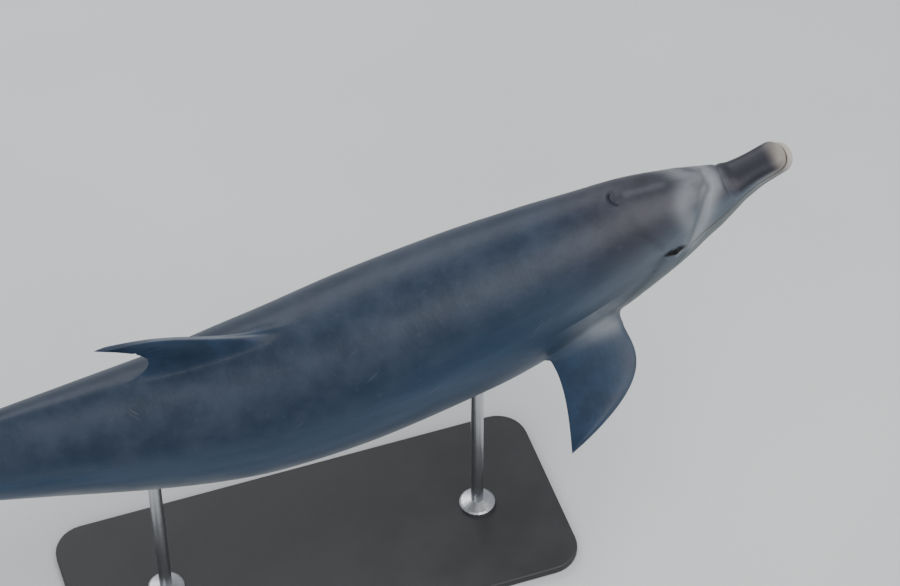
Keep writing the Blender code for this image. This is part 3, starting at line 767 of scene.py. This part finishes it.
def markings(mesh, blades):
    """Where each marking lies, as point attributes that the skin's material reads."""
    points = coordinates(mesh)
    near = mirrored(points)
    share, up = body_place(points)
    level = smooth(MOUTH_LEVEL, 1, share) * LENGTH
    over = up - level
    top = np.maximum(smooth(CORE, 1, share), 0.012) * LENGTH - level
    low = level - np.minimum(smooth(CORE, 2, share), -0.010) * LENGTH
    height = np.clip(np.where(over > 0, over / top, over / low), -1.3, 1.3)
    cape = height - np.interp(share, *zip(*CAPE_EDGE))
    belly = np.interp(share, *zip(*BELLY_EDGE)) - height
    belly = np.where(blades > 0.5, np.minimum(belly, -0.3), belly)
    spot, forward, lift, out = eye_frame()
    local = near - spot
    x, y = local @ forward, local @ lift
    reach = np.hypot(x / EYE_PATCH[0], np.where(y > 0, y / EYE_PATCH[1], y / EYE_PATCH[2]))
    patch = ease(reach, 1.15, 0.50) * (np.abs(local @ out) < EYE_NEAR)
    # the rim darkens the lids' margins, and paints shade on the sunken skin inside the opening round the ball
    rim = ease(lids(points, np.zeros(len(points)))[1], 0.0040, 0.0004)
    dark = np.maximum(patch, rim)
    lips = bell(over, 0.0070) * ease(share, 0.060, 0.030) * 0.45
    pale = np.maximum(lips, ease(share, 0.0215, 0.0010) * np.where(over > 0, 0.72, 0.85))
    head = share < STRIPES_END
    for path, amount, width, target in STRIPES:
        gap, place = nearest(near[head], line_on_skin(path))
        ends = ease(place, 0.0, 0.12) * ease(place, 1.0, 0.80) if width < WIDE_STRIPE else 1.0
        value = amount * bell(gap, width) * ends
        chosen = dark if target == "dark" else pale
        chosen[head] = np.maximum(chosen[head], value)
    mouth = np.zeros(len(points))
    front = share < MOUTH_FADE[0]
    line = 0.0019 + 0.0014 * ease(share[front], 0.030, 0.012)  # wider at the tip
    mouth[front] = bell(mouth_gap(points[front]), line) * ease(share[front], *MOUTH_FADE)
    # paler flipper root, and painted highlights along the front edges of the flippers and dorsal fin
    low_fin = (np.abs(points[:, 1]) > 0.05) & (share > 0.12) & (share < 0.42) & (over < 0)
    root, outward, fore = flipper_frame(1)
    shoulder = bell((near - root) @ fore - 0.045, 0.055) * bell((near - root) @ outward - 0.002, 0.024)
    # painted highlight along the flipper's front edge; the paler root is the skin's own colour
    edge = front_edge_highlight(near, (root, outward, fore), FLIPPER_SPAN, flipper_edges, 0.007)
    pale = np.maximum(pale, np.maximum(0.14 * edge, 0.55 * shoulder) * low_fin)
    high_fin = (blades > 0.3) & (share > 0.40) & (share < 0.70) & (over > 0)
    # painted highlight along the dorsal fin's front edge
    edge = front_edge_highlight(points, dorsal_frame(), FIN_HEIGHT, dorsal_edges, 0.0032) * bell(points[:, 1], 0.0065)
    pale = np.maximum(pale, 0.40 * edge * high_fin)
    for name, values in (("cape", cape), ("belly", belly), ("dark", dark), ("pale", pale),
                         ("mouth", mouth), ("fin", blades), ("share", share)):
        attribute(mesh, name, values)
    around = np.arctan2(over, np.abs(points[:, 1])) * np.hypot(points[:, 1], over)
    attribute(mesh, "along", np.stack([share * LENGTH, around, points[:, 1]], axis=-1))


# ---- materials
class Nodes:
    """Short names for building one material's nodes."""

    def __init__(self, name):
        self.material = bpy.data.materials.new(name)
        self.material.use_nodes = True
        self.tree = self.material.node_tree
        self.shader = self.tree.nodes["Principled BSDF"]

    def add(self, kind, sockets=None, **settings):
        """A node with these settings, and with its sockets, by name or number, wired to these values."""
        node = self.tree.nodes.new(kind)
        for key, value in settings.items():
            setattr(node, key, value)
        for key, value in (sockets or {}).items():
            self.wire(value, node.inputs[key])
        return node

    def wire(self, value, socket):
        """Links a node's output to the socket, or sets the number or colour on it."""
        if isinstance(value, (int, float)):
            socket.default_value = value
        elif isinstance(value, tuple):
            socket.default_value = (*value, 1.0)
        else:
            self.tree.links.new(value, socket)

    def done(self, **sockets):
        """Wires the shader's sockets, their names written with underscores, and returns the material."""
        for name, value in sockets.items():
            self.wire(value, self.shader.inputs[name.replace("_", " ")])
        return self.material

    def place(self):
        """The point's place in the object, in metres."""
        return self.add("ShaderNodeTexCoord").outputs["Object"]

    def scaled(self, scale, vector=None):
        node = self.add("ShaderNodeMapping", {"Vector": vector or self.place()})
        node.inputs["Scale"].default_value = scale
        return node.outputs["Vector"]

    def noise(self, size, detail=4.0, rough=0.55, vector=None, output="Fac"):
        """Noise whose lumps are about this many metres across."""
        sockets = {"Scale": 1 / size, "Detail": detail, "Roughness": rough, "Vector": vector or self.place()}
        return self.add("ShaderNodeTexNoise", sockets).outputs[output]

    def math(self, operation, a, b=0.0, c=0.0):
        return self.add("ShaderNodeMath", {0: a, 1: b, 2: c}, operation=operation).outputs[0]

    def times(self, a, b):
        return self.math("MULTIPLY", a, b)

    def hypot(self, a, b):
        return self.math("SQRT", self.math("ADD", self.math("POWER", a, 2.0), self.math("POWER", b, 2.0)))

    def ramp(self, value, low, high, to_low=0.0, to_high=1.0):
        """Eases from to_low at low to to_high at high."""
        sockets = {"Value": value, "From Min": low, "From Max": high, "To Min": to_low, "To Max": to_high}
        return self.add("ShaderNodeMapRange", sockets, interpolation_type="SMOOTHSTEP").outputs["Result"]

    def mix(self, factor, a, b, blend="MIX"):
        sockets = {0: factor, 6: a, 7: b}  # the ones for colours
        return self.add("ShaderNodeMix", sockets, data_type="RGBA", blend_type=blend).outputs[2]

    def read(self, name, output="Fac"):
        """A marking stored on the points."""
        return self.add("ShaderNodeAttribute", attribute_name=name).outputs[output]

    def bump(self, height, distance, strength=1.0, under=None):
        node = self.add("ShaderNodeBump", {"Height": height, "Distance": distance, "Strength": strength})
        if under is not None:
            self.wire(under, node.inputs["Normal"])
        return node.outputs["Normal"]


BACK = (0.009, 0.023, 0.050)
HEAD_TOP = (0.023, 0.023, 0.038)
FLANK = (0.085, 0.108, 0.138)
REAR_FLANK = (0.016, 0.043, 0.088)
# jaw and throat: their pale grey darkened with painted shade, as if they lay in shadow
JAW_WITH_PAINTED_SHADE = (0.130, 0.148, 0.145)
THROAT_IN_PAINTED_SHADE = (0.070, 0.092, 0.102)
BELLY = (0.400, 0.400, 0.390)
CREAM = (0.520, 0.470, 0.410)
PALE = (0.330, 0.350, 0.370)
INK = (0.006, 0.007, 0.010)
MOUTH_INK = (0.060, 0.036, 0.026)
BEAK_TOP = (0.016, 0.016, 0.026)


WOBBLE = 0.03  # how far the scratches stray, and the size of the lumps that lead them astray
WOBBLE_SIZE = 1 / 7.0
PATCH_DEPTH = 0.12


def scratches(n, along, across_turn, density, width, spacing, length):
    """Sets of fine parallel lines, in patches: what teeth leave on the skin."""
    turned = n.add("ShaderNodeVectorRotate", {"Vector": along, "Angle": across_turn}, rotation_type="Z_AXIS")
    vector = turned.outputs["Vector"]
    lumps = n.noise(WOBBLE_SIZE, 2.0, 0.5, vector, "Color")
    small = n.add("ShaderNodeVectorMath", {0: lumps, "Scale": WOBBLE}, operation="SCALE").outputs[0]
    warped = n.add("ShaderNodeVectorMath", {0: vector, 1: small}, operation="ADD").outputs[0]
    wave = n.add("ShaderNodeTexWave", {"Scale": 1 / spacing / math.pi, "Vector": warped}, wave_type="BANDS",
                 bands_direction="Y", wave_profile="SIN")
    line = n.ramp(wave.outputs["Fac"], 1.0 - width, 1.0)
    patches = n.noise(1.0, 2.0, 0.5, n.scaled((1 / length, 1 / (spacing * 5), 1 / PATCH_DEPTH), vector))
    return n.times(line, n.ramp(patches, 1.0 - density, 1.06 - density))


BLACK = (0.0, 0.0, 0.0)
GRAIN = (0.62, 0.62, 0.64)


def skin_material():
    """Wet skin: the colours of back, flank and belly, then the markings, then scratches and grain."""
    n = Nodes("dolphin_skin_wet")
    along = n.read("along", "Vector")
    share = n.read("share")
    broad = n.noise(0.42, 3.0)
    cloudy = n.noise(0.075, 6.0, 0.6)
    fine = n.noise(0.009, 5.0, 0.6)
    streaked = n.noise(1.0, 5.0, 0.62, n.scaled((2.2, 16.0, 9.0), along))
    wander = n.math("MULTIPLY_ADD", n.math("ADD", broad, cloudy), 0.34, -0.34)
    # dark back over the flank, and an underside with painted shade on the jaw and throat and a pale belly, with
    # wandering edges
    cape = n.math("ADD", n.read("cape"), wander)
    belly = n.math("ADD", n.read("belly"), n.times(wander, 0.7))
    back = n.mix(n.ramp(share, 0.24, 0.13), BACK, HEAD_TOP)
    back = n.mix(n.ramp(cloudy, 0.25, 0.75), n.mix(0.25, back, BLACK), n.mix(0.05, back, PALE))
    flank = n.mix(n.ramp(share, 0.14, 0.30), FLANK, REAR_FLANK)
    flank = n.mix(n.ramp(streaked, 0.30, 0.72), n.mix(0.22, flank, BLACK), n.mix(0.05, flank, PALE))
    colour = n.mix(n.ramp(cape, -0.30, 0.30), flank, back)
    # painted shade: the darkened jaw and throat, easing back into the pale belly
    under = n.mix(n.ramp(share, 0.09, 0.14), JAW_WITH_PAINTED_SHADE, THROAT_IN_PAINTED_SHADE)
    under = n.mix(n.ramp(share, 0.26, 0.40), under, BELLY)
    colour = n.mix(n.ramp(belly, -0.38, 0.36), colour, under)
    # dark beak, fins, and the markings that are stored on the points
    beak = n.times(n.ramp(share, 0.066, 0.052), n.ramp(n.read("cape"), 0.00, 0.42))
    colour = n.mix(n.times(beak, 0.92), colour, BEAK_TOP)
    fin = n.ramp(n.read("fin"), 0.35, 0.95)
    fin_tone = n.mix(n.ramp(cloudy, 0.3, 0.7), tuple(0.85 * c for c in BACK), tuple(1.5 * c for c in BACK))
    colour = n.mix(n.times(fin, 0.85), colour, fin_tone)
    # pale markings, among them painted highlights on the fins' front edges and the melon's top
    pale = n.times(n.read("pale"), n.ramp(cloudy, 0.18, 0.62, 0.65, 1.0))
    colour = n.mix(n.times(pale, 0.95), colour, n.mix(n.ramp(share, 0.05, 0.012), PALE, CREAM))
    # dark markings, among them painted shade in the eye opening and along the melon-edge fold
    dark = n.times(n.read("dark"), n.ramp(cloudy, 0.15, 0.6, 0.75, 1.0))
    colour = n.mix(dark, colour, INK)
    colour = n.mix(n.times(n.read("mouth"), 0.85), colour, MOUTH_INK)
    # tooth rakes, freckles and grain
    raked = n.math("MAXIMUM", scratches(n, along, 0.35, 0.30, 0.045, 0.0070, 0.16),
                   scratches(n, along, -0.75, 0.27, 0.050, 0.0085, 0.13))
    colour = n.mix(n.times(raked, 0.30), colour, PALE)
    freckle = n.ramp(n.noise(0.016, 2.0, 0.5), 0.66, 0.74)
    colour = n.mix(n.times(freckle, 0.10), colour, FLANK)
    colour = n.mix(n.ramp(fine, 0.2, 0.8, 0.0, 0.10), colour, GRAIN, "OVERLAY")
    rough = n.math("MULTIPLY_ADD", cloudy, 0.14, 0.40)
    rough = n.math("ADD", rough, n.times(raked, 0.15))
    shine = n.math("MULTIPLY_ADD", n.read("dark"), -0.22, 0.30)
    ridges = n.noise(1.0, 3.0, 0.5, n.scaled((120.0, 26.0, 26.0), along))
    normal = n.bump(ridges, 0.0006, 0.5)
    normal = n.bump(fine, 0.0006, 0.5, normal)
    normal = n.bump(cloudy, 0.0050, 0.35, normal)
    normal = n.bump(raked, 0.0004, 0.5, normal)
    return n.done(Base_Color=colour, Roughness=rough, Specular_IOR_Level=shine, Coat_Weight=0.07, Coat_Roughness=0.26,
                  Normal=normal)


PUPIL = (0.0068, 0.0038)  # half its width and height


def eye_material():
    """Dark brown iris round a wide, flat pupil; the ball's local Z looks out of the head."""
    n = Nodes("dolphin_eye_glossy")
    axes = n.add("ShaderNodeSeparateXYZ", {0: n.place()})
    x, y = axes.outputs["X"], axes.outputs["Y"]
    pupil = n.hypot(n.math("DIVIDE", x, PUPIL[0]), n.math("DIVIDE", y, PUPIL[1]))
    radius = n.hypot(x, y)
    fibres = n.noise(0.0016, 4.0, 0.7)
    iris = n.mix(n.ramp(fibres, 0.3, 0.7), (0.012, 0.008, 0.006), (0.034, 0.020, 0.012))
    iris = n.mix(n.ramp(radius, 0.0085, 0.0105), iris, (0.012, 0.011, 0.012))
    colour = n.mix(n.ramp(pupil, 0.92, 1.06), (0.003, 0.003, 0.004), iris)
    return n.done(Base_Color=colour, Roughness=n.ramp(fibres, 0.0, 1.0, 0.05, 0.10), Specular_IOR_Level=0.10,
                  Coat_Weight=0.12, Coat_Roughness=0.05)


def paint_material():
    n = Nodes("stand_satin_black")
    grain = n.noise(0.0012, 2.0)
    cloud = n.noise(0.12, 4.0)
    colour = n.mix(n.ramp(cloud, 0.3, 0.7), (0.018, 0.018, 0.020), (0.030, 0.030, 0.033))
    return n.done(Base_Color=colour, Roughness=n.ramp(cloud, 0.2, 0.8, 0.42, 0.56), Normal=n.bump(grain, 0.0002, 0.6))


def steel_material():
    n = Nodes("stand_brushed_steel")
    brushed = n.noise(1.0, 3.0, 0.6, n.scaled((40.0, 40.0, 2600.0)))
    cloud = n.noise(0.09, 3.0)
    colour = n.mix(n.ramp(brushed, 0.3, 0.7), (0.46, 0.47, 0.49), (0.60, 0.61, 0.63))
    return n.done(Base_Color=colour, Roughness=n.math("MULTIPLY_ADD", cloud, 0.12, 0.24), Metallic=1.0,
                  Normal=n.bump(brushed, 0.00012, 0.5))


def floor_material():
    n = Nodes("studio_floor")
    cloud = n.noise(0.8, 3.0)
    return n.done(Base_Color=n.mix(n.ramp(cloud, 0.3, 0.7), (0.66, 0.67, 0.68), (0.69, 0.70, 0.71)), Roughness=0.75)


# ---- pieces
def primitive(name, finish, create, **sizes):
    """An object that one of bmesh's own functions makes."""
    bm = bmesh.new()
    create(bm, **sizes)
    mesh = bpy.data.meshes.new(name)
    bm.to_mesh(mesh)
    bm.free()
    mesh.materials.append(finish)
    return linked(name, mesh)


def eye(name, side, finish):
    """An eyeball, sunk in the head: side is +1 for the left and -1 for the right."""
    spot, _, up, out = (v * (1, side, 1) for v in eye_frame())
    across = np.cross(up, out)
    turned = Matrix((across, up, out)).transposed().to_4x4()
    made = primitive(name, finish, bmesh.ops.create_uvsphere, u_segments=56, v_segments=40, radius=EYE_RADIUS)
    made.data.shade_smooth()
    made.matrix_world = Matrix.Translation(Vector(spot - out * (EYE_RADIUS - EYE_PROUD))) @ turned
    return made


def dolphin_skin(finish):
    """The body with its fins, as one mesh with its markings."""
    shares, turn = grid()
    points = skin(shares[:, None], turn[None, :])
    rise = sculpt(points, shares, turn)
    points = points + normals(points) * rise[:, :, None]
    points[0, :, 1] = 0.0
    body = grid_object("body_skin", points, 0, zipped=True)
    blades = [dorsal_fin(), flipper("flipper_left_skin", 1), flipper("flipper_right_skin", -1), flukes()]
    made = joined(body, blades)
    share = blade_share(made.data)
    blended = fillet(made.data, share)
    markings(made.data, blended)
    made.data.polygons.foreach_set("material_index", np.zeros(len(made.data.polygons), np.int32))
    made.data.materials.clear()
    made.data.materials.append(finish)
    made.data.shade_smooth()
    return made


FLESH = ("beak_upper", "lower_jaw", "head", "chest", "trunk", "loin", "tail_stock", "dorsal_fin",
         "flipper_left", "flipper_right", "fluke_left", "fluke_right")
whole = dolphin_skin(skin_material())
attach(whole, "root")
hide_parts(*FLESH)
eye_finish = eye_material()
for side, word in ((1, "left"), (-1, "right")):
    ball = eye("eyeball_" + word, side, eye_finish)
    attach(ball, "root")
    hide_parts("eye_" + word)
for node, finish in (("stand_base", paint_material()), ("stand_rod_front", steel_material()),
                     ("stand_rod_rear", steel_material())):
    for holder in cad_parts[node].material_slots:
        holder.material = finish


# ---- studio
def plane(name, size, finish):
    return primitive(name, finish, bmesh.ops.create_grid, x_segments=1, y_segments=1, size=size / 2)


def softbox(name, place, target, size, power, colour):
    """A large soft light that faces a target."""
    light = bpy.data.lights.new(name, "AREA")
    light.shape = "RECTANGLE"
    light.size, light.size_y = size
    light.energy = power
    light.color = colour
    made = linked(name, light)
    made.location = place
    made.rotation_euler = (Vector(target) - Vector(place)).to_track_quat("-Z", "Y").to_euler()


plane("floor", 60.0, floor_material())
world = bpy.data.worlds.new("studio")
bpy.context.scene.world = world
world.use_nodes = True
sky = world.node_tree.nodes["Background"].inputs
sky["Color"].default_value = (0.86, 0.90, 0.95, 1.0)
sky["Strength"].default_value = 0.55
softbox("key", (1.6, -1.2, 4.4), (0.2, 0.0, 0.6), (4.2, 3.0), 165.0, (1.0, 0.98, 0.95))
softbox("fill", (-3.0, -3.4, 2.6), (-0.2, 0.0, 0.5), (2.5, 2.0), 60.0, (0.93, 0.96, 1.0))
softbox("back", (-0.6, 3.8, 3.2), (0.2, 0.0, 0.6), (4.6, 2.4), 90.0, (1.0, 1.0, 1.0))

# Camera: its turn round the model, height angle and roll, from a fit to the photo, and the point it looks at
YAW, RISE, ROLL = (math.radians(v) for v in (-18.47, 48.02, -0.54))
AIM = Vector((0.4454, 0.0, 0.7402))
DISTANCE = 6.5
FOCAL = 3.5086  # in widths of the frame
SENSOR = 36.0
back = Vector((math.sin(YAW) * math.cos(RISE), -math.cos(YAW) * math.cos(RISE), math.sin(RISE)))
right = Vector((math.cos(YAW), math.sin(YAW), 0.0))
up = back.cross(right)
right, up = right * math.cos(ROLL) + up * math.sin(ROLL), up * math.cos(ROLL) - right * math.sin(ROLL)
lens = bpy.data.cameras.new("camera")
lens.sensor_width = SENSOR
lens.lens = SENSOR * FOCAL
lens.clip_end = 100.0
camera = linked("camera", lens)
turned = Matrix((right, up, back)).transposed().to_4x4()
camera.matrix_world = Matrix.Translation(AIM + back * DISTANCE) @ turned
bpy.context.scene.camera = camera
